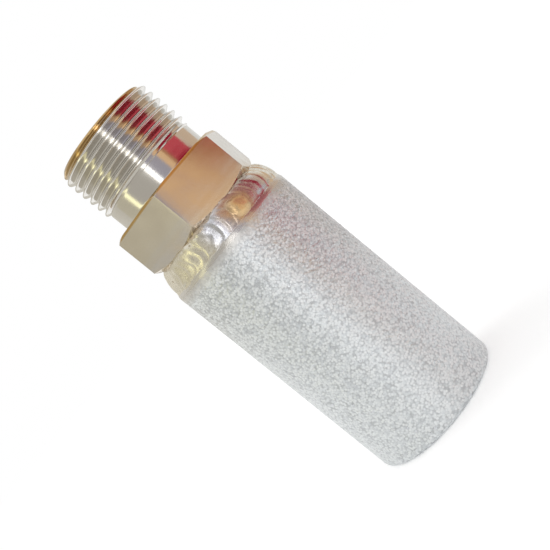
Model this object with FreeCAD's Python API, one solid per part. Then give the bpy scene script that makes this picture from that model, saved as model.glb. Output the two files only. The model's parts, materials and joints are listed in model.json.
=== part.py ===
import FreeCAD, Part
import math
import os

# Sintered metal filter: a turned hex fitting with a male thread, welded to a porous metal cup.
# It stands on the cup's closed end, with +Z along the axis towards the thread.
# Lengths are millimetres. Radii are measured from the Z axis.

# Porous cup: pressed and sintered in one piece, closed at the bottom.
# It is a little wider than the hex is across its corners.
cup_overhang = 0.2
cup_length = 48.5
cup_wall = 2.9
cup_floor = 3.0
cup_end_radius = 1.0
cup_inside_radius = 1.5
cup_shoulder_radius = 1.6

# Hex of the fitting
hex_across_flats = 22.0
hex_length = 8.8
hex_front_chamfer = 0.55
hex_back_chamfer = 1.25
hex_chamfer_angle = 30.0

# Threaded end of the fitting, M20 x 1.5. Over the run-out the groove grows shallow.
thread_diameter = 20.0
thread_pitch = 1.5
thread_length = 10.0
thread_end_chamfer = 1.0
thread_run_out = 1.2
neck_length = 3.4
neck_relief = 1.1
neck_corner_radius = 0.35

# Bore and spigot of the fitting
bore_diameter = 12.0
bore_chamfer = 0.5
spigot_length = 5.0
spigot_clearance = 0.1
spigot_lead = 0.6

# Weld bead between the hex and the mouth of the cup
weld_length = 4.3
weld_sink = 0.55
weld_crown_sink = 0.5
weld_lap = 0.3
weld_lap_height = 0.35

# Drop of weld metal that stands proud of the bead
drop_radius = 3.4
drop_proud = 0.35
drop_depth = 2.4
drop_angle = 302.0

# An ISO metric thread: flanks at 30 degrees, its depth and the width of its crest
# as shares of its pitch. The threading tool reaches a little past the crest.
THREAD_FLANK_SLOPE = math.tan(math.radians(30))
THREAD_DEPTH_PER_PITCH = 0.6134
THREAD_CREST_PER_PITCH = 0.125
TOOL_CLEARANCE = 0.06

flat_radius = hex_across_flats / 2
corner_radius = flat_radius / math.cos(math.radians(30))
chamfer_slope = math.tan(math.radians(hex_chamfer_angle))
hex_front_radius = corner_radius - hex_front_chamfer / chamfer_slope
hex_back_radius = corner_radius - hex_back_chamfer / chamfer_slope

cup_radius = corner_radius + cup_overhang
cup_bore_radius = cup_radius - cup_wall
thread_radius = thread_diameter / 2
thread_depth = THREAD_DEPTH_PER_PITCH * thread_pitch
thread_root_radius = thread_radius - thread_depth
neck_radius = thread_radius - neck_relief / 2
bore_radius = bore_diameter / 2
spigot_radius = cup_bore_radius - spigot_clearance

# Heights, from the closed end up
seat_z = cup_length
hex_top_z = seat_z + hex_length
thread_z = hex_top_z + neck_length
top_z = thread_z + thread_length
spigot_z = seat_z - spigot_length

ORIGIN = FreeCAD.Vector(0, 0, 0)
UP = FreeCAD.Vector(0, 0, 1)


def at(radius, height):
    """A point of a turned section, in the XZ plane."""
    return FreeCAD.Vector(radius, 0, height)


def revolved(edges):
    """The solid that a closed section sweeps about the axis."""
    return Part.Face(Part.Wire(edges)).revolve(ORIGIN, UP, 360)


def turned(points):
    """A solid of revolution from straight cuts, given as (radius, height) pairs."""
    corners = [at(radius, height) for radius, height in points]
    closed = corners + corners[:1]
    return revolved([Part.makeLine(a, b) for a, b in zip(closed, closed[1:])])


def edges_on_circle(solid, radius, height):
    """The circular edges of a solid that have this radius and lie at this height."""
    found = []
    for edge in solid.Edges:
        curve = edge.Curve
        if not isinstance(curve, Part.Circle):
            continue
        if abs(curve.Radius - radius) < 1e-4 and abs(curve.Center.z - height) < 1e-4:
            found.append(edge)
    return found


def rounded(solid, fillet_radius, radius, height):
    """The solid with its circular edge at this radius and height rounded."""
    return solid.makeFillet(fillet_radius, edges_on_circle(solid, radius, height))


def porous_cup():
    """A thick wall and floor, with a bevelled mouth that leaves room for the weld."""
    toe_z = seat_z - weld_length
    cup = turned([
        (0, 0),
        (cup_radius, 0),
        (cup_radius, toe_z),
        (hex_back_radius, seat_z),
        (cup_bore_radius, seat_z),
        (cup_bore_radius, cup_floor),
        (0, cup_floor),
    ])
    cup = rounded(cup, cup_end_radius, cup_radius, 0)
    cup = rounded(cup, cup_shoulder_radius, cup_radius, toe_z)
    return rounded(cup, cup_inside_radius, cup_bore_radius, cup_floor)


def turned_blank():
    """The fitting before it is milled and threaded: spigot, round collar, neck and end."""
    run_out = thread_radius - neck_radius
    return turned([
        (bore_radius + bore_chamfer, spigot_z),
        (spigot_radius - spigot_lead, spigot_z),
        (spigot_radius, spigot_z + spigot_lead),
        (spigot_radius, seat_z),
        (hex_back_radius, seat_z),
        (corner_radius, seat_z + hex_back_chamfer),
        (corner_radius, hex_top_z - hex_front_chamfer),
        (hex_front_radius, hex_top_z),
        (neck_radius, hex_top_z),
        (neck_radius, thread_z),
        (thread_radius, thread_z + run_out),
        (thread_radius, top_z - thread_end_chamfer),
        (thread_radius - thread_end_chamfer, top_z),
        (bore_radius + bore_chamfer, top_z),
        (bore_radius, top_z - bore_chamfer),
        (bore_radius, spigot_z + bore_chamfer),
    ])


def flat_cutter(index):
    """The stock that milling takes off one side of the collar."""
    width = 2 * corner_radius
    corner = FreeCAD.Vector(flat_radius, -width / 2, seat_z)
    cutter = Part.makeBox(width, width, hex_length, corner)
    cutter.rotate(ORIGIN, UP, 60 * index)
    return cutter


def groove_turn(start_z):
    """The metal that the threading tool takes off in one turn, climbing from this height."""
    half_mouth = (1 - THREAD_CREST_PER_PITCH) * thread_pitch / 2
    half_root = half_mouth - thread_depth * THREAD_FLANK_SLOPE
    half_outer = half_mouth + TOOL_CLEARANCE * THREAD_FLANK_SLOPE
    outer_radius = thread_radius + TOOL_CLEARANCE
    tool = Part.makePolygon([
        at(thread_root_radius, start_z - half_root),
        at(outer_radius, start_z - half_outer),
        at(outer_radius, start_z + half_outer),
        at(thread_root_radius, start_z + half_root),
        at(thread_root_radius, start_z - half_root),
    ])
    path = Part.makeHelix(thread_pitch, thread_pitch, thread_radius)
    path.translate(UP * start_z)
    return Part.Wire(path).makePipeShell([tool], True, True)


def run_out_sleeve():
    """The metal that the tool leaves where it draws back, from the full groove to the neck."""
    return turned([
        (bore_radius, thread_z - thread_pitch),
        (neck_radius, thread_z - thread_pitch),
        (neck_radius, thread_z),
        (thread_root_radius, thread_z + thread_run_out),
        (bore_radius, thread_z + thread_run_out),
    ])


def threaded(fitting):
    """The fitting with its thread cut turn by turn, from half a pitch below to past its end."""
    turns = math.ceil(thread_length / thread_pitch) + 1
    for turn in range(turns):
        fitting = fitting.cut(groove_turn(thread_z + (turn - 0.5) * thread_pitch))
    return fitting.fuse(run_out_sleeve())


def hex_fitting():
    """The turned blank with its neck corner rounded, six flats milled and its thread cut."""
    fitting = rounded(turned_blank(), neck_corner_radius, neck_radius, hex_top_z)
    for index in range(6):
        fitting = fitting.cut(flat_cutter(index))
    return threaded(fitting)


def bead_ring():
    """The bead's section, which fills the bevel and laps onto the hex, turned once round."""
    bevel_run = cup_radius - hex_back_radius
    toe_radius = cup_radius - weld_sink
    toe = at(toe_radius, seat_z - weld_length * (toe_radius - hex_back_radius) / bevel_run)
    crown = at(cup_radius - weld_crown_sink, seat_z - weld_length / 2)
    lap_edge = at(flat_radius + weld_lap_height, seat_z + weld_lap)
    lap_root = at(cup_bore_radius, seat_z + weld_lap)
    inner = at(cup_bore_radius, seat_z)
    root = at(hex_back_radius, seat_z)
    return revolved([
        Part.makeLine(root, toe),
        Part.Arc(toe, crown, lap_edge).toShape(),
        Part.makeLine(lap_edge, lap_root),
        Part.makeLine(lap_root, inner),
        Part.makeLine(inner, root),
    ])


def weld_drop():
    """A rounded drop of metal, kept outside the root of the weld."""
    crest_radius = cup_radius - weld_crown_sink + drop_proud
    centre = at(crest_radius - drop_radius, seat_z - drop_depth)
    drop = Part.makeSphere(drop_radius, centre)
    core = Part.makeCylinder(hex_back_radius, top_z)
    drop = drop.cut(core)
    drop.rotate(ORIGIN, UP, drop_angle)
    return drop


def weld_bead(fitting, cup):
    """The bead and its drop, which meet the fitting and the cup face to face."""
    return bead_ring().fuse(weld_drop()).cut(fitting).cut(cup)


def solid_of(shape):
    """The one solid of a finished shape, with its split faces joined."""
    joined = shape.removeSplitter()
    return joined.Solids[0]


def build():
    """Every sub-part by its name."""
    fitting = solid_of(hex_fitting())
    cup = solid_of(porous_cup())
    bead = solid_of(weld_bead(fitting, cup))
    return {"hex_fitting": fitting, "weld_bead": bead, "porous_cup": cup}


os.makedirs("parts", exist_ok=True)
for name, solid in build().items():
    solid.exportStep(f"parts/{name}.step")
    box = solid.BoundBox
    print(f"{name}: {solid.Volume:.1f} mm3, z {box.ZMin:.2f} to {box.ZMax:.2f}, "
          f"width {box.XLength:.2f} x {box.YLength:.2f}, valid {solid.isValid()}")
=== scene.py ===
# %% [markdown]
# # A sintered metal filter, dressed for a portrait
#
# The object is small, about as long as a thumb. A porous cup, pressed from metal powder and
# baked until the grains join, is welded to a turned steel fitting with a hexagon and a thread.
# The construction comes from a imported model, in metres, and this script only gives it its looks:
# a real helical thread, a rippled weld, a grained wall, and the light that polished steel needs.
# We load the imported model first, because the main sizes below are read from it.

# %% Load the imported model
import json
import math

import bmesh
import bpy
from mathutils import Matrix, Vector, noise

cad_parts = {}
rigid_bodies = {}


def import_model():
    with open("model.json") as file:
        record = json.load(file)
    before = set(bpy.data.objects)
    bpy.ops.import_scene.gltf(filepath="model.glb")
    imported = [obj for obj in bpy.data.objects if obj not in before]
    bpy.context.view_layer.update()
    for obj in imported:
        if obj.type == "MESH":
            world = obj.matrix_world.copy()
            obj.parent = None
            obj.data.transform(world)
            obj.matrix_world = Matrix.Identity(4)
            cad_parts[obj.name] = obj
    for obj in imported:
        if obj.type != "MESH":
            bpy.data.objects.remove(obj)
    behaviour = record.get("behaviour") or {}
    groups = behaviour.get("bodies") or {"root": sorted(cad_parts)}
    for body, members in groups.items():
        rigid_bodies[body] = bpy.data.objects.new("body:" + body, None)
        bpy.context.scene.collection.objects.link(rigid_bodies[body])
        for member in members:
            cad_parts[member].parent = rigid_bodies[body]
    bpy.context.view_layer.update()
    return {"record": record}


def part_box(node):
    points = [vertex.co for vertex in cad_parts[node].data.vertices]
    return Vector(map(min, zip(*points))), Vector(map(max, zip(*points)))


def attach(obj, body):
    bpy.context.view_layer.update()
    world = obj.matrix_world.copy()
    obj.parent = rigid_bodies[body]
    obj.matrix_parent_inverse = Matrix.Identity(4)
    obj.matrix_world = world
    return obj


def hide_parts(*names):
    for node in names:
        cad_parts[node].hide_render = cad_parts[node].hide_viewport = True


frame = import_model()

MM = 0.001

# %% [markdown]
# ## Sizes, read from the model
#
# The boxes of the three nodes and the places of the mounts give the main sizes. A section of a
# turned part is a list of (radius, height) pairs, so we keep radii and heights, not diameters.
# The few small sizes that no box tells, such as a chamfer, are written here once.

# %% Read the main radii and heights
mounts = {mount["name"]: mount for mount in frame["record"]["mounts"]}
fitting_low, fitting_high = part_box("hex_fitting")
cup_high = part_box("porous_cup")[1]

CUP_RADIUS = cup_high.x
SEAT_Z = cup_high.z
TOP_Z = fitting_high.z
SPIGOT_Z = fitting_low.z
FLAT_RADIUS = fitting_high.x
CORNER_RADIUS = fitting_high.y
BORE_RADIUS = mounts["flow_bore"]["dims"]["r_mm"] * MM
THREAD_RADIUS = mounts["thread"]["dims"]["r_mm"] * MM
HEX_TOP_Z = mounts["seal_face"]["pos_m"][2]

thread_half = mounts["thread"]["dims"]["length_mm"] * MM / 2
CREST_LOW_Z = mounts["thread"]["pos_m"][2] - thread_half
CREST_HIGH_Z = mounts["thread"]["pos_m"][2] + thread_half
print("seat at", round(SEAT_Z / MM, 2), "mm, full crests from", round(CREST_LOW_Z / MM, 2),
      "to", round(CREST_HIGH_Z / MM, 2), "mm")

# %% Name the small sizes
PITCH = 1.5 * MM
THREAD_DEPTH_PER_PITCH = 0.6134
THREAD_DEPTH = THREAD_DEPTH_PER_PITCH * PITCH
ROOT_RADIUS = THREAD_RADIUS - THREAD_DEPTH
THREAD_END_RADIUS = THREAD_RADIUS - (TOP_Z - CREST_HIGH_Z)
NECK_RELIEF = 0.55 * MM
NECK_RADIUS = THREAD_RADIUS - NECK_RELIEF
NECK_TOP_Z = CREST_LOW_Z - (THREAD_RADIUS - NECK_RADIUS)
NECK_FILLET = 0.35 * MM
BORE_CHAMFER = 0.5 * MM
CUP_WALL = 2.9 * MM
CUP_FLOOR = 3.0 * MM
SPIGOT_CLEARANCE = 0.1 * MM
SPIGOT_RADIUS = CUP_RADIUS - CUP_WALL - SPIGOT_CLEARANCE
SPIGOT_LEAD = 0.6 * MM
HEX_FRONT_CHAMFER = 0.55 * MM
HEX_BACK_CHAMFER = 1.25 * MM
CHAMFER_SLOPE = math.tan(math.radians(30))
HEX_FRONT_RADIUS = CORNER_RADIUS - HEX_FRONT_CHAMFER / CHAMFER_SLOPE
HEX_BACK_RADIUS = CORNER_RADIUS - HEX_BACK_CHAMFER / CHAMFER_SLOPE
WELD_LENGTH = 4.3 * MM
TOE_Z = SEAT_Z - WELD_LENGTH
BEVEL_SLOPE = (CUP_RADIUS - HEX_BACK_RADIUS) / WELD_LENGTH
UP = Vector((0, 0, 1))
CENTRE = Vector((0, 0, 0))

# %% [markdown]
# ## Two helpers for meshes
#
# A lathe part is a section that turns about an axis, which is what the spin operator does. Spin
# gets slow when it has hundreds of steps to make, so we spin a quarter turn and mirror it twice.
# The mirror also sews the seams. The second helper turns a finished bmesh into an object: normals
# outward, smooth shading, and a crease wherever faces meet at more than a given angle, so that
# round stays round and edges stay crisp.

# %% Define the lathe and the finisher
TURN_STEPS = 192
# Points that lie nearer to each other than this become one
SEW = 0.002 * MM


def whole_turn(bm, geom, steps):
    """Spin a section once round the Z axis, as a quarter turn and its mirror images."""
    bmesh.ops.spin(bm, geom=geom, cent=CENTRE, axis=UP, angle=math.pi / 2, steps=steps // 4)
    for across in ("Y", "X"):
        everything = bm.verts[:] + bm.edges[:] + bm.faces[:]
        bmesh.ops.mirror(bm, geom=everything, matrix=Matrix.Identity(4), merge_dist=SEW,
                         axis=across)
    bmesh.ops.remove_doubles(bm, verts=bm.verts[:], dist=SEW)
    bmesh.ops.recalc_face_normals(bm, faces=bm.faces[:])
    bm.normal_update()


def lathe(bm, section, steps=TURN_STEPS):
    """Turn a chain of (radius, height) points into a skin."""
    verts = [bm.verts.new((radius, 0, height)) for radius, height in section]
    edges = [bm.edges.new(pair) for pair in zip(verts, verts[1:])]
    whole_turn(bm, verts + edges, steps)


def finish_piece(bm, name, crease_degrees):
    """Make an object of the bmesh, with outward normals and smooth shading."""
    bmesh.ops.recalc_face_normals(bm, faces=bm.faces[:])
    open_edges = sum(edge.is_boundary for edge in bm.edges)
    mesh = bpy.data.meshes.new(name)
    bm.to_mesh(mesh)
    bm.free()
    mesh.shade_smooth()
    mesh.set_sharp_from_angle(angle=math.radians(crease_degrees))
    piece = bpy.data.objects.new(name, mesh)
    bpy.context.scene.collection.objects.link(piece)
    triangles = sum(len(face.vertices) - 2 for face in mesh.polygons)
    print(name, "has", triangles, "triangles and", open_edges, "open edges")
    return piece


# %% [markdown]
# ## The thread
#
# A metric thread is one V-shaped section swept along a helix. Spin can climb while it turns: its
# dvec moves each copy a little along the axis. So we draw one pitch of the section, groove to
# groove, and spin it through one turn, which ends exactly one pitch higher. Copies of that turn
# stacked a pitch apart make the whole thread. Neighbouring turns share their end points, and
# merging doubles sews them into one skin. Planes then trim it square. At each corner of the
# section two points lie close together, and smooth shading between them breaks the edge.

# %% Draw one pitch of the section
THREAD_STEPS = 144
CREST_HALF = PITCH / 16
FLANK_SLOPE = 1 / math.tan(math.radians(30))
ROOT_EDGE = CREST_HALF + THREAD_DEPTH / FLANK_SLOPE
ROUNDING = 0.03 * MM
FLANK_POINTS = 6


def thread_radius(offset):
    """Radius of an ISO section at this distance along the axis from the middle of a crest."""
    flank = THREAD_RADIUS - (abs(offset) - CREST_HALF) * FLANK_SLOPE
    return max(min(flank, THREAD_RADIUS), ROOT_RADIUS)


flank_start = CREST_HALF + ROUNDING
flank_step = (ROOT_EDGE - ROUNDING - flank_start) / FLANK_POINTS
flank_offsets = [flank_start + flank_step * i for i in range(FLANK_POINTS + 1)]
half_offsets = [0, CREST_HALF - ROUNDING, *flank_offsets, ROOT_EDGE + ROUNDING, PITCH / 2]
section_offsets = [-offset for offset in reversed(half_offsets)] + half_offsets[1:]
print("thread depth", round(THREAD_DEPTH / MM, 2), "mm, root radius", round(ROOT_RADIUS / MM, 2),
      "mm,", len(section_offsets), "points a pitch")

# %% Spin it up the helix and trim it
TURNS = math.ceil((TOP_Z - NECK_TOP_Z) / PITCH) + 2
RUN_OUT = 1.2 * MM
# The thread and the turned skin stop this far apart, and a band of faces joins them
SEAM_BAND = 0.12 * MM


def helical_skin(bm):
    """The threaded skin from the neck to the end face, open at both ends."""
    start_z = NECK_TOP_Z - PITCH
    verts = [bm.verts.new((thread_radius(s), 0, start_z + s)) for s in section_offsets]
    edges = [bm.edges.new(pair) for pair in zip(verts, verts[1:])]
    bmesh.ops.spin(bm, geom=verts + edges, cent=CENTRE, axis=UP, angle=2 * math.pi,
                   steps=THREAD_STEPS, dvec=UP * PITCH / THREAD_STEPS)
    one_turn = bm.verts[:] + bm.edges[:] + bm.faces[:]
    for number in range(1, TURNS):
        copy = bmesh.ops.duplicate(bm, geom=one_turn)["geom"]
        copied_verts = [item for item in copy if isinstance(item, bmesh.types.BMVert)]
        bmesh.ops.translate(bm, verts=copied_verts, vec=UP * PITCH * number)
    bmesh.ops.remove_doubles(bm, verts=bm.verts[:], dist=SEW)
    everything = bm.verts[:] + bm.edges[:] + bm.faces[:]
    bmesh.ops.bisect_plane(bm, geom=everything, plane_co=UP * (TOP_Z - SEAM_BAND), plane_no=UP,
                           clear_outer=True)
    everything = bm.verts[:] + bm.edges[:] + bm.faces[:]
    bmesh.ops.bisect_plane(bm, geom=everything, plane_co=UP * NECK_TOP_Z, plane_no=UP,
                           clear_inner=True)


def turn_thread_ends(bm):
    """Chamfer the thread at its end face, and let its groove run out at the neck."""
    for vert in bm.verts:
        radius = vert.co.xy.length
        height = vert.co.z
        end_cone = THREAD_RADIUS - max(height - CREST_HIGH_Z, 0)
        neck_cone = NECK_RADIUS + height - NECK_TOP_Z
        fade = max(1 - (height - NECK_TOP_Z) / RUN_OUT, 0)
        groove_floor = ROOT_RADIUS + (NECK_RADIUS - ROOT_RADIUS) * fade
        wanted = max(min(radius, end_cone, neck_cone), min(groove_floor, end_cone))
        vert.co.x *= wanted / radius
        vert.co.y *= wanted / radius


# %% [markdown]
# ## The rest of the fitting
#
# Everything below the thread is one turned section: neck, collar, spigot and the bore. The hexagon
# is made as in the workshop. A round collar with conical chamfers is turned first, and then six
# planes cut its sides flat. Where a plane meets a cone it leaves the curved edge that every real
# hex has, with no need to model it. A bevel then breaks the edges. Its clamp holds all widths to
# what the shortest edge allows, and the cuts leave some edges under two hundredths of a
# millimetre long. So of the width that we ask for only a few thousandths of a millimetre are
# left, and the edges of the hexagon stay crisp.

# %% Turn the collar, the spigot and the bore
NECK_FILLET_STEPS = 5


def fillet_points():
    """The arc between the neck and the front face of the collar."""
    points = []
    for i in range(NECK_FILLET_STEPS + 1):
        angle = math.pi / 2 * i / NECK_FILLET_STEPS
        radius = NECK_RADIUS + NECK_FILLET * (1 - math.sin(angle))
        points.append((radius, HEX_TOP_Z + NECK_FILLET * (1 - math.cos(angle))))
    return points


turned_section = [
    (THREAD_END_RADIUS, TOP_Z),
    (BORE_RADIUS + BORE_CHAMFER, TOP_Z),
    (BORE_RADIUS, TOP_Z - BORE_CHAMFER),
    (BORE_RADIUS, SPIGOT_Z + BORE_CHAMFER),
    (BORE_RADIUS + BORE_CHAMFER, SPIGOT_Z),
    (SPIGOT_RADIUS - SPIGOT_LEAD, SPIGOT_Z),
    (SPIGOT_RADIUS, SPIGOT_Z + SPIGOT_LEAD),
    (SPIGOT_RADIUS, SEAT_Z),
    (HEX_BACK_RADIUS, SEAT_Z),
    (CORNER_RADIUS, SEAT_Z + HEX_BACK_CHAMFER),
    (CORNER_RADIUS, HEX_TOP_Z - HEX_FRONT_CHAMFER),
    (HEX_FRONT_RADIUS, HEX_TOP_Z),
    *fillet_points(),
    (NECK_RADIUS, NECK_TOP_Z - SEAM_BAND),
]
print("turned section:", len(turned_section), "points")

# %% Mill the flats and break the edges
# The width of the bevel before it is clamped, and the least fold that counts as an edge
EDGE_BREAK = 0.22 * MM
LEAST_FOLD = math.radians(20)
# Points that lie nearer to a plane than this lie on it
CLOSE = 0.001 * MM


def mill_flat(bm, index):
    """Cut one side of the collar flat and close the cut with one face."""
    outward = Matrix.Rotation(math.radians(60 * index), 3, "Z") @ Vector((1, 0, 0))
    everything = bm.verts[:] + bm.edges[:] + bm.faces[:]
    bmesh.ops.bisect_plane(bm, geom=everything, plane_co=outward * FLAT_RADIUS,
                           plane_no=outward, clear_outer=True)
    rim = [edge for edge in bm.edges if edge.is_boundary
           and all(abs(v.co.dot(outward) - FLAT_RADIUS) < CLOSE for v in edge.verts)]
    bmesh.ops.contextual_create(bm, geom=rim)


def break_hex_edges(bm):
    """Bevel the edges of the hexagon, as wide as its shortest edge allows."""
    bm.normal_update()
    sharp = [edge for edge in bm.edges
             if edge.is_manifold and edge.calc_face_angle() > LEAST_FOLD
             and all(v.co.xy.length > FLAT_RADIUS - CLOSE for v in edge.verts)]
    bmesh.ops.bevel(bm, geom=sharp, offset=EDGE_BREAK, offset_type="OFFSET", segments=3,
                    profile=0.5, affect="EDGES", material=-1, clamp_overlap=True)


# %% Sew the skins into one fitting
def rim_at(bm, height):
    """The open edges that lie at this height."""
    return [edge for edge in bm.edges if edge.is_boundary
            and all(abs(v.co.z - height) < CLOSE for v in edge.verts)]


def threaded_fitting():
    """The whole fitting as one closed skin."""
    bm = bmesh.new()
    lathe(bm, turned_section)
    for index in range(6):
        mill_flat(bm, index)
    break_hex_edges(bm)
    thread = bmesh.new()
    helical_skin(thread)
    turn_thread_ends(thread)
    carrier = bpy.data.meshes.new("thread_skin")
    thread.to_mesh(carrier)
    thread.free()
    bm.from_mesh(carrier)
    bpy.data.meshes.remove(carrier)
    for upper in (TOP_Z, NECK_TOP_Z):
        rims = rim_at(bm, upper) + rim_at(bm, upper - SEAM_BAND)
        bmesh.ops.bridge_loops(bm, edges=rims)
    return finish_piece(bm, "threaded_fitting", crease_degrees=32)


fitting = threaded_fitting()

# %% [markdown]
# ## The weld
#
# A hand-laid weld is a row of small frozen pools. Each one laps the last, so the bead shows
# crescents, and its width and height wander. We start from a ring with a flat elliptical section
# that leans on the bevel of the cup, and push its surface out and in: a sawtooth along the ring
# for the crescents, slow noise for the wandering, and one large drop where the torch was lifted.
# Molten steel wets what it touches, so the foot of the bead runs onto the cup in a small hollow.
# The inner half of the ring is hidden in the joint, as real weld metal is.

# %% Make the ring
BEAD_STEPS = 540
BEAD_SECTION = 52
BEAD_CENTRE = Vector((CUP_RADIUS - 1.50 * MM, 0, SEAT_Z - 1.90 * MM))
BEAD_HALF_WIDTH = 0.85 * MM
BEAD_HALF_LENGTH = 2.45 * MM
BEAD_LEAN = math.radians(-18)


def plain_ring():
    """A ring with an elliptical section, as a bmesh."""
    bm = bmesh.new()
    bmesh.ops.create_circle(bm, segments=BEAD_SECTION, radius=1)
    bmesh.ops.rotate(bm, verts=bm.verts[:], cent=CENTRE,
                     matrix=Matrix.Rotation(math.radians(90), 3, "X"))
    bmesh.ops.scale(bm, verts=bm.verts[:], vec=(BEAD_HALF_WIDTH, 1, BEAD_HALF_LENGTH))
    bmesh.ops.rotate(bm, verts=bm.verts[:], cent=CENTRE, matrix=Matrix.Rotation(BEAD_LEAN, 3, "Y"))
    bmesh.ops.translate(bm, verts=bm.verts[:], vec=BEAD_CENTRE)
    whole_turn(bm, bm.verts[:] + bm.edges[:], BEAD_STEPS)
    return bm


# %% Ripple it
RIPPLES = 44
RIPPLE_HEIGHT = 0.12 * MM
RIPPLE_FRONT = 0.25
RIPPLE_WANDER = 0.5
CRESCENT_BEND = 0.9
LUMP_SIZE = 2.6 * MM
LUMP_HEIGHT = 0.26 * MM
DROP_ANGLE = math.radians(302)
DROP_RADIUS = 1.9 * MM
DROP_HEIGHT = 0.5 * MM
DROP_UNEVEN = 0.5
DROP_PLACE = Vector((math.cos(DROP_ANGLE), math.sin(DROP_ANGLE), 0)) * (CUP_RADIUS - 0.5 * MM)
DROP_PLACE.z = SEAT_Z - 2.1 * MM
WETTING = 0.22 * MM
PROUD_LIMIT = CUP_RADIUS - 0.03 * MM


def bead_height(point):
    """How far the frozen surface stands out from the plain ring at this point."""
    turn = math.atan2(point.y, point.x) % (2 * math.pi)
    across = (point.z - BEAD_CENTRE.z) / BEAD_HALF_LENGTH
    wander = noise.noise(point / LUMP_SIZE)
    along = turn / (2 * math.pi) * RIPPLES + CRESCENT_BEND * across * across
    phase = (along + RIPPLE_WANDER * wander) % 1
    ripple = RIPPLE_HEIGHT * (1 - phase) * min(phase / RIPPLE_FRONT, 1)
    uneven = 1 + DROP_UNEVEN * noise.noise(point / DROP_RADIUS)
    from_drop = (point - DROP_PLACE).length * uneven
    dome = max(1 - (from_drop / DROP_RADIUS) ** 2, 0)
    return (ripple + LUMP_HEIGHT * wander) * (1 - dome) + DROP_HEIGHT * dome


def wetted_radius(point):
    """The distance from the axis, raised where the bead wets the bevel of the cup in a hollow."""
    bevel_radius = CUP_RADIUS - max(point.z - TOE_Z, 0) * BEVEL_SLOPE
    above = point.xy.length - bevel_radius
    if above > WETTING:
        return bevel_radius + above
    if above > -WETTING:
        return bevel_radius + (above + WETTING) ** 2 / (4 * WETTING)
    return bevel_radius + max(above, 2 * (above + WETTING))


def rippled_bead():
    """The ring with its ripples, lumps and drop."""
    bm = plain_ring()
    moves = [(vert, vert.normal * bead_height(vert.co)) for vert in bm.verts]
    for vert, move in moves:
        vert.co += move
        stretch = min(wetted_radius(vert.co), PROUD_LIMIT) / vert.co.xy.length
        vert.co.x *= stretch
        vert.co.y *= stretch
    return finish_piece(bm, "rippled_weld", crease_degrees=60)


bead = rippled_bead()

# %% [markdown]
# ## The porous cup
#
# Its wall is a crust of sintered grains. A bump map alone would leave a knife-clean outline, so we
# spin the wall as a fine grid and sink its points between the grains, which Voronoi cells stand
# for. Only the outer wall gets the fine grid. The points sink and never rise, so the grains' tops
# lie on the true surface. Next to the weld the grains have melted together, and there they fade.

# %% Draw the section of the cup
GRID = 0.215 * MM
CUP_STEPS = 380
END_RADIUS = 1.0 * MM
INSIDE_RADIUS = 1.5 * MM
SHOULDER_RADIUS = 1.6 * MM
ARC_STEPS = 6


def arc(centre_radius, centre_z, size, start_degrees, end_degrees):
    """Points of an arc in the section, ends included."""
    points = []
    for i in range(ARC_STEPS + 1):
        angle = math.radians(start_degrees + (end_degrees - start_degrees) * i / ARC_STEPS)
        points.append((centre_radius + size * math.cos(angle), centre_z + size * math.sin(angle)))
    return points


bevel_degrees = math.degrees(math.atan(BEVEL_SLOPE))
shoulder_tangent = SHOULDER_RADIUS * math.tan(math.radians(bevel_degrees / 2))
wall_top_z = TOE_Z - shoulder_tangent
wall_rows = round((wall_top_z - END_RADIUS) / GRID)
wall_section = [(CUP_RADIUS, END_RADIUS + (wall_top_z - END_RADIUS) * i / wall_rows)
                for i in range(1, wall_rows)]
END_ROWS = 14
end_section = [((CUP_RADIUS - END_RADIUS) * i / END_ROWS, 0) for i in range(END_ROWS)]
bore_radius = CUP_RADIUS - CUP_WALL
cup_section = [
    *end_section,
    *arc(CUP_RADIUS - END_RADIUS, END_RADIUS, END_RADIUS, -90, 0),
    *wall_section,
    *arc(CUP_RADIUS - SHOULDER_RADIUS, wall_top_z, SHOULDER_RADIUS, 0, bevel_degrees),
    (HEX_BACK_RADIUS, SEAT_Z),
    (bore_radius, SEAT_Z),
    *arc(bore_radius - INSIDE_RADIUS, CUP_FLOOR + INSIDE_RADIUS, INSIDE_RADIUS, 0, -90),
    (0, CUP_FLOOR),
]
print("cup section:", len(cup_section), "points,", CUP_STEPS, "steps round")

# %% Sink the wall between its grains
GRAIN = 0.39 * MM
GRAIN_TOP = 0.12
GRAIN_FLANK = 0.6
PORE_DEPTH = 0.06 * MM
MELT_LENGTH = 2.2 * MM
MELTED_Z = TOE_Z + 0.3 * MM
MELTED_SHARE = 0.15
RELIEF_TOP_Z = TOE_Z + 0.5 * MM


def pore_depth(point):
    """How deep the surface lies below the tops of the grains at this point."""
    distances, _ = noise.voronoi(point / GRAIN)
    valley = min(max(distances[0] - GRAIN_TOP, 0) / GRAIN_FLANK, 1)
    coarse = min(max((MELTED_Z - point.z) / MELT_LENGTH, 0), 1)
    return PORE_DEPTH * valley * (MELTED_SHARE + (1 - MELTED_SHARE) * coarse)


def grained_cup():
    """The cup as one closed skin, with relief on its outside."""
    bm = bmesh.new()
    lathe(bm, cup_section, CUP_STEPS)
    middle_of_wall = CUP_RADIUS - CUP_WALL / 2
    middle_of_floor = CUP_FLOOR / 2
    outside = [vert for vert in bm.verts if vert.co.z < RELIEF_TOP_Z
               and (vert.co.xy.length > middle_of_wall or vert.co.z < middle_of_floor)]
    moves = [(vert, vert.normal * pore_depth(vert.co)) for vert in outside]
    for vert, move in moves:
        vert.co -= move
    return finish_piece(bm, "grained_cup", crease_degrees=60)


cup = grained_cup()

# %% [markdown]
# ## Steel in four finishes
#
# All of it is stainless steel, so all of it is metallic and close to grey, and the finishes differ
# in how rough they are. Turned steel is smooth with fine rings, milled steel is duller, weld metal
# is bright and stained straw by heat, and sintered steel is a matt crust. Colours are written as
# they look on a screen and turned to linear light by one function. One more function adds a node
# and wires it, so that each material reads as a list of its nodes.

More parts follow.
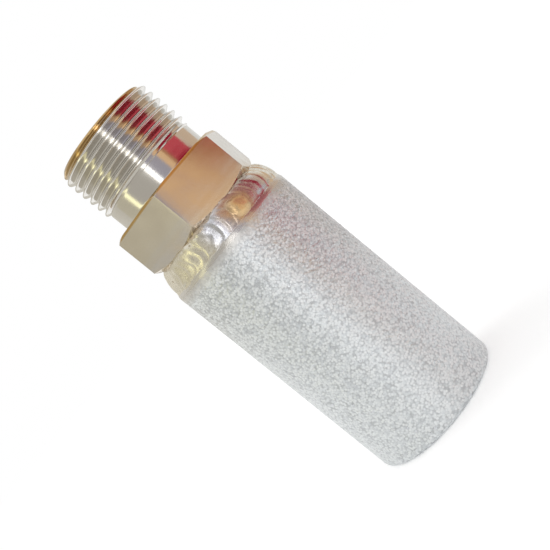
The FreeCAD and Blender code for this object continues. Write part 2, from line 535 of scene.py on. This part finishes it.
# %% Colour and node helpers
def linear(hex_colour):
    """An sRGB colour such as #C0C0C0 as linear red, green, blue and alpha."""
    channels = [int(hex_colour[i:i + 2], 16) / 255 for i in (1, 3, 5)]
    return tuple(c / 12.92 if c <= 0.04045 else ((c + 0.055) / 1.055) ** 2.4
                 for c in channels) + (1.0,)


def add(tree, kind, inputs, **settings):
    """Add a node, set its options, and fill or link its inputs."""
    made = tree.nodes.new(kind)
    for option, value in settings.items():
        setattr(made, option, value)
    for socket, value in inputs.items():
        if isinstance(value, bpy.types.NodeSocket):
            tree.links.new(value, made.inputs[socket])
        else:
            made.inputs[socket].default_value = value
    return made


def new_material(name):
    """A material with no nodes but its output, and that output's tree."""
    material = bpy.data.materials.new(name)
    material.use_nodes = True
    material.node_tree.nodes.clear()
    return material, material.node_tree


# A Mix node has one set of sockets for colours and one for plain numbers, under the same names,
# so they are told apart by their places in its list
FACTOR = 0
COLOUR_A, COLOUR_B, MIXED = 6, 7, 2
NUMBER_A, NUMBER_B, BLENDED = 2, 3, 0

# %% [markdown]
# Turned steel has rings about a tenth of a millimetre apart, which the picture can't show one by
# one. They are drawn a little coarser, as a faint bump in rings along the axis. Close to the weld
# the heat leaves a straw stain. The chamfers of the thread's end and of the hexagon's front get a
# painted brown shade line.

# %% Turned and milled steel
TURNING_RINGS = 0.22 * MM
HEAT_REACH = 3.2 * MM
# The colour of the painted brown shade line on the chamfers
PAINTED_SHADE_BROWN = "#BFA06E"


def painted_edge_shade(tree, place, height):
    """Where the brown shade line is painted: the chamfers of the thread's end and the hexagon's
    front.
    """
    flat_place = add(tree, "ShaderNodeVectorMath", {0: place, 1: (1, 1, 0)}, operation="MULTIPLY")
    radius = add(tree, "ShaderNodeVectorMath", {0: flat_place.outputs["Vector"]},
                 operation="LENGTH").outputs["Value"]
    end = add(tree, "ShaderNodeMapRange", {"Value": height, "From Min": CREST_HIGH_Z,
                                           "From Max": CREST_HIGH_Z + 0.3 * MM})
    outside = add(tree, "ShaderNodeMapRange", {"Value": radius, "From Min": ROOT_RADIUS - 0.1 * MM,
                                               "From Max": ROOT_RADIUS})
    front = add(tree, "ShaderNodeMapRange", {"Value": height, "From Min": HEX_TOP_Z - 0.5 * MM,
                                             "From Max": HEX_TOP_Z - 0.3 * MM})
    wide = add(tree, "ShaderNodeMapRange", {"Value": radius, "From Min": FLAT_RADIUS - 0.5 * MM,
                                            "From Max": FLAT_RADIUS - 0.4 * MM})
    thread_end = add(tree, "ShaderNodeMath", {0: end.outputs[0], 1: outside.outputs[0]},
                     operation="MULTIPLY")
    hex_front = add(tree, "ShaderNodeMath", {0: front.outputs[0], 1: wide.outputs[0]},
                    operation="MULTIPLY")
    both = add(tree, "ShaderNodeMath", {0: thread_end.outputs[0], 1: hex_front.outputs[0]},
               operation="MAXIMUM")
    return both.outputs[0]


def steel(name, colour, stain, roughness, ring_height):
    """Machined stainless steel, with tool marks round the axis and a heat stain by the weld."""
    material, tree = new_material(name)
    place = add(tree, "ShaderNodeTexCoord", {}).outputs["Object"]
    height = add(tree, "ShaderNodeSeparateXYZ", {"Vector": place}).outputs["Z"]
    heat = add(tree, "ShaderNodeMapRange", {"Value": height, "From Min": SEAT_Z + HEAT_REACH,
                                            "From Max": SEAT_Z}).outputs["Result"]
    smudge = add(tree, "ShaderNodeTexNoise", {"Vector": place, "Scale": 1 / (3.5 * MM),
                                              "Detail": 4.0}).outputs["Fac"]
    uneven = add(tree, "ShaderNodeMath", {0: heat, 1: smudge}, operation="MULTIPLY")
    tinted = add(tree, "ShaderNodeMix", {FACTOR: uneven.outputs[0], COLOUR_A: linear(colour),
                                         COLOUR_B: linear(stain)}, data_type="RGBA")
    # Painted shade: a brown line on the chamfers of the thread's end and of the hexagon's front
    edge_shade = painted_edge_shade(tree, place, height)
    edge_shaded = add(tree, "ShaderNodeMix", {FACTOR: edge_shade, COLOUR_A: tinted.outputs[MIXED],
                                         COLOUR_B: linear(PAINTED_SHADE_BROWN)}, data_type="RGBA")
    rings = add(tree, "ShaderNodeTexWave", {"Vector": place, "Scale": 1 / (20 * TURNING_RINGS),
                                            "Distortion": 1.5, "Detail": 2.0, "Detail Scale": 1.0},
                wave_type="BANDS", bands_direction="Z")
    grit = add(tree, "ShaderNodeTexNoise", {"Vector": place, "Scale": 1 / (0.25 * MM),
                                            "Detail": 3.0}).outputs["Fac"]
    relief = add(tree, "ShaderNodeMath", {0: rings.outputs["Fac"], 1: grit}, operation="ADD")
    bump = add(tree, "ShaderNodeBump", {"Height": relief.outputs[0], "Distance": ring_height})
    dull = add(tree, "ShaderNodeMapRange", {"Value": smudge, "From Min": 0.3, "From Max": 0.7,
                                            "To Min": roughness * 0.8, "To Max": roughness * 1.25})
    shader = add(tree, "ShaderNodeBsdfPrincipled", {
        "Base Color": edge_shaded.outputs[MIXED], "Metallic": 1.0,
        "Roughness": dull.outputs["Result"], "Normal": bump.outputs["Normal"]})
    add(tree, "ShaderNodeOutputMaterial", {"Surface": shader.outputs["BSDF"]})
    return material


turned_steel = steel("turned_stainless_steel", colour="#D6D3CD", stain="#C9A878",
                     roughness=0.15, ring_height=0.004 * MM)
milled_steel = steel("milled_stainless_steel", colour="#D2CCC3", stain="#CDB58A",
                     roughness=0.2, ring_height=0.003 * MM)

# %% [markdown]
# Weld metal froze from a melt, so it is smooth where the pool was and crusted along its edge. The
# heat left a thin oxide on it, with brown specks of scale. Its tint goes gold on the drop where
# the torch was lifted, brown round that, bright steel next, and straw far away. The gold and the
# brown are heat tint with a painted reflection of a tan surrounding laid over it.

# %% Weld metal
BROWN_REACH = 4.6 * MM
STRAW_START = 6.0 * MM
STRAW_FULL = 8.0 * MM


def weld_metal():
    """Bright fused steel with straw oxide in patches and small specks of scale."""
    material, tree = new_material("fused_weld_metal")
    place = add(tree, "ShaderNodeTexCoord", {}).outputs["Object"]
    patches = add(tree, "ShaderNodeTexNoise", {"Vector": place, "Scale": 1 / (2.4 * MM),
                                               "Detail": 3.0}).outputs["Fac"]
    ragged = add(tree, "ShaderNodeMath", {0: patches, 1: 1.8 * MM, 2: -0.9 * MM},
                 operation="MULTIPLY_ADD")
    centre = add(tree, "ShaderNodeVectorMath", {0: place, 1: DROP_PLACE}, operation="DISTANCE")
    from_drop = add(tree, "ShaderNodeMath", {0: centre.outputs["Value"], 1: ragged.outputs[0]},
                    operation="ADD").outputs[0]
    far = add(tree, "ShaderNodeMapRange", {"Value": from_drop, "From Min": STRAW_START,
                                           "From Max": STRAW_FULL}).outputs["Result"]
    straw = add(tree, "ShaderNodeMix", {FACTOR: far, COLOUR_A: linear("#CCCDD2"),
                                        COLOUR_B: linear("#DFDACC")}, data_type="RGBA")
    fine = add(tree, "ShaderNodeTexNoise", {"Vector": place, "Scale": 1 / (0.5 * MM),
                                            "Detail": 5.0}).outputs["Fac"]
    scale = add(tree, "ShaderNodeMapRange", {"Value": fine, "From Min": 0.64,
                                             "From Max": 0.74}).outputs["Result"]
    specked = add(tree, "ShaderNodeMix", {FACTOR: scale, COLOUR_A: straw.outputs[MIXED],
                                          COLOUR_B: linear("#8A7458")}, data_type="RGBA")
    # Heat tint with painted reflection: the brown round the drop and the gold on it stand partly
    # for a tan surrounding mirrored in the weld
    brown_tint_and_reflection = add(tree, "ShaderNodeMapRange", {"Value": from_drop, "From Min": BROWN_REACH,
                                              "From Max": DROP_RADIUS}).outputs["Result"]
    browned_with_reflection = add(tree, "ShaderNodeMix", {FACTOR: brown_tint_and_reflection, COLOUR_A: specked.outputs[MIXED],
                                           COLOUR_B: linear("#C2A482")}, data_type="RGBA")
    gold_tint_and_reflection = add(tree, "ShaderNodeMapRange", {"Value": from_drop, "From Min": DROP_RADIUS,
                                               "From Max": DROP_RADIUS * 0.6}).outputs["Result"]
    gilded_with_reflection = add(tree, "ShaderNodeMix", {FACTOR: gold_tint_and_reflection, COLOUR_A: browned_with_reflection.outputs[MIXED],
                                         COLOUR_B: linear("#DCBA88")}, data_type="RGBA")
    coated = add(tree, "ShaderNodeMapRange", {"Value": brown_tint_and_reflection, "To Min": 1.0, "To Max": 0.5})
    bump = add(tree, "ShaderNodeBump", {"Height": fine, "Distance": 0.05 * MM, "Strength": 0.35})
    dull = add(tree, "ShaderNodeMapRange", {"Value": fine, "From Min": 0.35, "From Max": 0.7,
                                            "To Min": 0.18, "To Max": 0.42})
    shader = add(tree, "ShaderNodeBsdfPrincipled", {
        "Base Color": gilded_with_reflection.outputs[MIXED], "Metallic": coated.outputs["Result"],
        "Roughness": dull.outputs["Result"], "Normal": bump.outputs["Normal"]})
    add(tree, "ShaderNodeOutputMaterial", {"Surface": shader.outputs["BSDF"]})
    return material


weld_steel = weld_metal()

# %% [markdown]
# A sintered wall sparkles softly, because every grain faces its own way. Each Voronoi cell gets
# its own shade and gloss, the valleys between cells are darker where light gets lost in the
# pores, and a second, finer set of cells roughens the tops of the grains. Beside the weld the
# grains melted into a smooth skin, which is glossier than most of them and a little warmer.

# %% Sintered steel
def sintered_steel():
    """A matt crust of powder grains, each with its own shade and gloss, with pores between."""
    material, tree = new_material("sintered_stainless_powder")
    place = add(tree, "ShaderNodeTexCoord", {}).outputs["Object"]
    height = add(tree, "ShaderNodeSeparateXYZ", {"Vector": place}).outputs["Z"]
    cells = add(tree, "ShaderNodeTexVoronoi", {"Vector": place, "Scale": 1 / GRAIN})
    shade = add(tree, "ShaderNodeSeparateColor", {"Color": cells.outputs["Color"]}).outputs["Red"]
    cloud = add(tree, "ShaderNodeTexNoise", {"Vector": place, "Scale": 1 / (0.8 * MM),
                                             "Detail": 3.0}).outputs["Fac"]
    mottle = add(tree, "ShaderNodeMath", {0: shade, 1: cloud}, operation="ADD")
    level = add(tree, "ShaderNodeMapRange", {"Value": mottle.outputs[0], "From Min": 0.35,
                                             "From Max": 1.25}).outputs["Result"]
    grains = add(tree, "ShaderNodeMix", {FACTOR: level, COLOUR_A: linear("#C4C8CA"),
                                         COLOUR_B: linear("#E4E7E8")}, data_type="RGBA")
    # Painted shade: the valleys between the cells are darkened, where light is lost in the pores
    pore_shade = add(tree, "ShaderNodeMapRange", {"Value": cells.outputs["Distance"], "From Min": 0.45,
                                            "From Max": 0.8}).outputs["Result"]
    crust = add(tree, "ShaderNodeMix", {FACTOR: pore_shade, COLOUR_A: grains.outputs[MIXED],
                                        COLOUR_B: linear("#BABDBF")}, data_type="RGBA")
    melt = add(tree, "ShaderNodeMapRange", {"Value": height, "From Min": TOE_Z - MELT_LENGTH,
                                            "From Max": TOE_Z - 0.3 * MM}).outputs["Result"]
    skin = add(tree, "ShaderNodeMix", {FACTOR: melt, COLOUR_A: crust.outputs[MIXED],
                                       COLOUR_B: linear("#CECBC6")}, data_type="RGBA")
    dust = add(tree, "ShaderNodeTexVoronoi", {"Vector": place, "Scale": 1 / (0.24 * MM)})
    gritty = add(tree, "ShaderNodeMapRange", {"Value": melt, "To Min": 0.35, "To Max": 0.1})
    bump = add(tree, "ShaderNodeBump", {"Height": dust.outputs["Distance"],
                                        "Distance": 0.08 * MM,
                                        "Strength": gritty.outputs["Result"]}, invert=True)
    facets = add(tree, "ShaderNodeMapRange", {"Value": shade, "To Min": 0.27, "To Max": 0.66})
    dull = add(tree, "ShaderNodeMix", {FACTOR: melt, NUMBER_A: facets.outputs["Result"],
                                       NUMBER_B: 0.27})
    shader = add(tree, "ShaderNodeBsdfPrincipled", {
        "Base Color": skin.outputs[MIXED], "Metallic": 0.85,
        "Roughness": dull.outputs[BLENDED], "Normal": bump.outputs["Normal"]})
    add(tree, "ShaderNodeOutputMaterial", {"Surface": shader.outputs["BSDF"]})
    return material


powder_steel = sintered_steel()

# %% Give the pieces their finishes
UPRIGHT = 0.999
ON_FLAT = 0.01 * MM


def is_milled(face):
    """True on the six flats of the hexagon, and on four slivers at one of its ridges."""
    stands = face.normal.xy.length > UPRIGHT
    return stands and abs(face.center.dot(face.normal) - FLAT_RADIUS) < ON_FLAT


fitting.data.materials.append(turned_steel)
fitting.data.materials.append(milled_steel)
for face in fitting.data.polygons:
    face.material_index = int(is_milled(face))
bead.data.materials.append(weld_steel)
cup.data.materials.append(powder_steel)
print("milled faces:", sum(face.material_index for face in fitting.data.polygons))

# %% [markdown]
# ## Join the pieces to the imported model
#
# Each piece rides on the object's one body and stands for the node that it replaces.

# %% Ride and replace
for piece, node_name, slot_name in (
        (fitting, "hex_fitting", "turned_steel"),
        (bead, "weld_bead", "weld_metal"),
        (cup, "porous_cup", "sintered_steel")):
    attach(piece, "root")
    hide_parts(node_name)

# %% [markdown]
# ## The camera
#
# The photograph looks at the filter from the side, from about 15 cm away, with the thread in the
# upper left corner. Our filter stands upright, so the camera leans instead: it is rolled until the
# axis runs from upper left to lower right. Its place follows from a fit of the outline: how far
# away the axis is, where along the axis the lens points, how much the closed end recedes, and how
# far the nearest corner of the hexagon is turned from the lens.

# %% Place the camera
VIEW_DISTANCE = 149.43 * MM
AIM_Z = TOP_Z - 36.15 * MM
SIDE_SHIFT = 0.22 * MM
RECEDE = math.radians(4.93)
AXIS_SLOPE = math.radians(39.17)
CORNER_TURN = math.radians(11.2)
FOCAL_PIXELS = 917.4
PHOTO_PIXELS = 550

to_camera = Vector((math.sin(CORNER_TURN), -math.cos(CORNER_TURN), 0))
to_right = Vector((math.cos(CORNER_TURN), math.sin(CORNER_TURN), 0))
forward = -UP * math.sin(RECEDE) - to_camera * math.cos(RECEDE)
along = -UP * math.cos(RECEDE) + to_camera * math.sin(RECEDE)
picture_right = along * math.cos(AXIS_SLOPE) + to_right * math.sin(AXIS_SLOPE)
picture_up = to_right * math.cos(AXIS_SLOPE) - along * math.sin(AXIS_SLOPE)

camera_data = bpy.data.cameras.new("camera")
camera_data.sensor_width = 36
camera_data.lens = FOCAL_PIXELS / PHOTO_PIXELS * camera_data.sensor_width
camera_data.clip_start = 10 * MM
camera = bpy.data.objects.new("camera", camera_data)
bpy.context.scene.collection.objects.link(camera)
place = UP * AIM_Z - to_right * SIDE_SHIFT - forward * VIEW_DISTANCE
turn = Matrix((picture_right, picture_up, -forward)).transposed().to_4x4()
camera.matrix_world = Matrix.Translation(place) @ turn
bpy.context.scene.camera = camera
print("camera at", [round(c / MM, 1) for c in place], "mm, lens", round(camera_data.lens, 1))

# %% [markdown]
# ## The studio
#
# Polished steel shows its surroundings, so its colours in the photograph are those of the room.
# We stand tall curved cards round the filter, out of the camera's sight: blue-grey and grey beside
# the lens, a tan one that the hexagon mirrors, a red one that puts the red band on the thread, and
# a pale yellow strip. Low cards in near-neutral greys stand under most of them, for the cup and
# the weld. Only reflections see the cards, so the light stays plain. The world is white, and the
# floor is white with a soft shadow.

# %% Stand the cards
CARD_DISTANCE = 0.25
CARD_STEPS = 12
LENS_AZIMUTH = math.atan2(to_camera.y, to_camera.x)


def card(name, start_degrees, end_degrees, low_z, high_z, colour, strength=1.0):
    """Stand an upright curved card between two angles from the lens, for reflections only."""
    bm = bmesh.new()
    first = LENS_AZIMUTH + math.radians(start_degrees)
    foot = Vector((math.cos(first), math.sin(first), 0)) * CARD_DISTANCE
    verts = [bm.verts.new(foot + UP * low_z), bm.verts.new(foot + UP * high_z)]
    edge = bm.edges.new(verts)
    bmesh.ops.spin(bm, geom=verts + [edge], cent=CENTRE, axis=UP,
                   angle=math.radians(end_degrees - start_degrees), steps=CARD_STEPS)
    mesh = bpy.data.meshes.new(name)
    bm.to_mesh(mesh)
    bm.free()
    made = bpy.data.objects.new(name, mesh)
    bpy.context.scene.collection.objects.link(made)
    material, tree = new_material(name)
    glow = add(tree, "ShaderNodeEmission", {"Color": linear(colour), "Strength": strength})
    add(tree, "ShaderNodeOutputMaterial", {"Surface": glow.outputs["Emission"]})
    mesh.materials.append(material)
    for ray in ("camera", "diffuse", "transmission", "volume_scatter", "shadow"):
        setattr(made, "visible_" + ray, False)


CARD_LOW = 0.002
CARD_MIDDLE = 0.036
COOL_TOP = 0.048
RED_CHANGE = 0.105
LENS_CARD_TOP = 0.35
CARD_HIGH = 0.5
card("lens_side_card", -4.5, 4.5, CARD_MIDDLE, LENS_CARD_TOP, "#FFFFFF", strength=2.8)
card("low_lens_card", -4.5, 4.5, CARD_LOW, CARD_MIDDLE, "#E6E8EC")
card("low_blue_card", 4.5, 31, CARD_LOW, CARD_MIDDLE, "#C8CBCE")
card("blue_grey_card", 4.5, 31, CARD_MIDDLE, CARD_HIGH, "#B0ADB9")
card("tan_card", 31, 44, CARD_LOW, CARD_HIGH, "#F4CB9C")
card("brown_card", 44, 50, CARD_LOW, CARD_HIGH, "#B88460")
card("low_cool_card", 50, 91, CARD_LOW, COOL_TOP, "#C8CBCE")
card("low_red_card", 50, 91, COOL_TOP, RED_CHANGE, "#D25660")
card("high_red_card", 50, 101, RED_CHANGE, CARD_HIGH, "#A02034")
card("low_far_card", 91, 150, CARD_LOW, CARD_MIDDLE, "#BAB4B0")
card("low_sand_card", 91, 101, CARD_MIDDLE, RED_CHANGE, "#DCC8B4")
card("sand_card", 101, 132, CARD_MIDDLE, CARD_HIGH, "#DCC4AC")
card("white_card", 132, 180, CARD_MIDDLE, CARD_HIGH, "#F0F0EE")
card("low_left_card", -106, -4.5, CARD_LOW, CARD_MIDDLE, "#CDD0D2")
card("grey_card", -62, -4.5, CARD_MIDDLE, CARD_HIGH, "#C3BFB8")
card("yellow_strip", -71, -62, CARD_MIDDLE, CARD_HIGH, "#FFFBCF", strength=1.8)
card("olive_card", -106, -71, CARD_MIDDLE, CARD_HIGH, "#CEC8B5")
card("pale_card", -180, -106, CARD_LOW, CARD_HIGH, "#D6D2C8")
cards = [piece for piece in bpy.data.objects if piece.name.endswith(("_card", "_strip"))]
print("cards:", len(cards))

# %% Light the studio
WORLD_AS_LIGHT = 0.77
WORLD_AS_SEEN = 1.0


def white_world():
    """A white world, a little dimmer as light than it looks."""
    world = bpy.data.worlds.new("studio")
    bpy.context.scene.world = world
    world.use_nodes = True
    tree = world.node_tree
    tree.nodes.clear()
    path = add(tree, "ShaderNodeLightPath", {})
    seen = add(tree, "ShaderNodeMath", {0: path.outputs["Is Camera Ray"],
                                        1: path.outputs["Is Glossy Ray"]}, operation="MAXIMUM")
    seen = add(tree, "ShaderNodeMath", {0: seen.outputs[0],
                                        1: path.outputs["Is Transmission Ray"]},
               operation="MAXIMUM")
    strength = add(tree, "ShaderNodeMapRange", {"Value": seen.outputs[0],
                                                "To Min": WORLD_AS_LIGHT,
                                                "To Max": WORLD_AS_SEEN})
    light = add(tree, "ShaderNodeBackground", {"Color": (1.0, 1.0, 1.0, 1.0),
                                               "Strength": strength.outputs["Result"]})
    add(tree, "ShaderNodeOutputWorld", {"Surface": light.outputs["Background"]})


def lamp(name, azimuth_degrees, height, distance, size, power):
    """Hang a white square soft box that points at the filter where the camera does."""
    data = bpy.data.lights.new(name, "AREA")
    data.size = size
    data.energy = power
    made = bpy.data.objects.new(name, data)
    bpy.context.scene.collection.objects.link(made)
    angle = LENS_AZIMUTH + math.radians(azimuth_degrees)
    stand = Vector((math.cos(angle), math.sin(angle), 0)) * distance + UP * height
    aim = UP * AIM_Z - stand
    facing = aim.to_track_quat("-Z", "Y").to_matrix().to_4x4()
    made.matrix_world = Matrix.Translation(stand) @ facing


white_world()
lamp("soft_box_left", azimuth_degrees=-125, height=0.25, distance=0.6, size=0.4, power=1.1)
lamp("soft_box_lens", azimuth_degrees=-2, height=0.05, distance=0.5, size=0.08, power=0.15)
print("soft boxes:", [light.name for light in bpy.data.lights])

# %% Lay the floor
FLOOR_HALF_WIDTH = 3.0
FLOOR_GLOW = 0.32


def white_floor():
    """A white floor that takes a soft shadow, and glows a little where it is seen or mirrored."""
    bm = bmesh.new()
    bmesh.ops.create_grid(bm, x_segments=1, y_segments=1, size=FLOOR_HALF_WIDTH)
    mesh = bpy.data.meshes.new("floor")
    bm.to_mesh(mesh)
    bm.free()
    floor = bpy.data.objects.new("floor", mesh)
    bpy.context.scene.collection.objects.link(floor)
    material, tree = new_material("white_floor")
    paper = add(tree, "ShaderNodeBsdfDiffuse", {"Color": linear("#F4F4F4")})
    path = add(tree, "ShaderNodeLightPath", {})
    seen = add(tree, "ShaderNodeMath", {0: path.outputs["Is Camera Ray"],
                                        1: path.outputs["Is Glossy Ray"]}, operation="MAXIMUM")
    lift = add(tree, "ShaderNodeMath", {0: seen.outputs[0], 1: FLOOR_GLOW}, operation="MULTIPLY")
    glow = add(tree, "ShaderNodeEmission", {"Strength": lift.outputs[0]})
    both = add(tree, "ShaderNodeAddShader", {0: paper.outputs[0], 1: glow.outputs[0]})
    add(tree, "ShaderNodeOutputMaterial", {"Surface": both.outputs[0]})
    mesh.materials.append(material)


white_floor()
bpy.context.scene.view_settings.view_transform = "Standard"
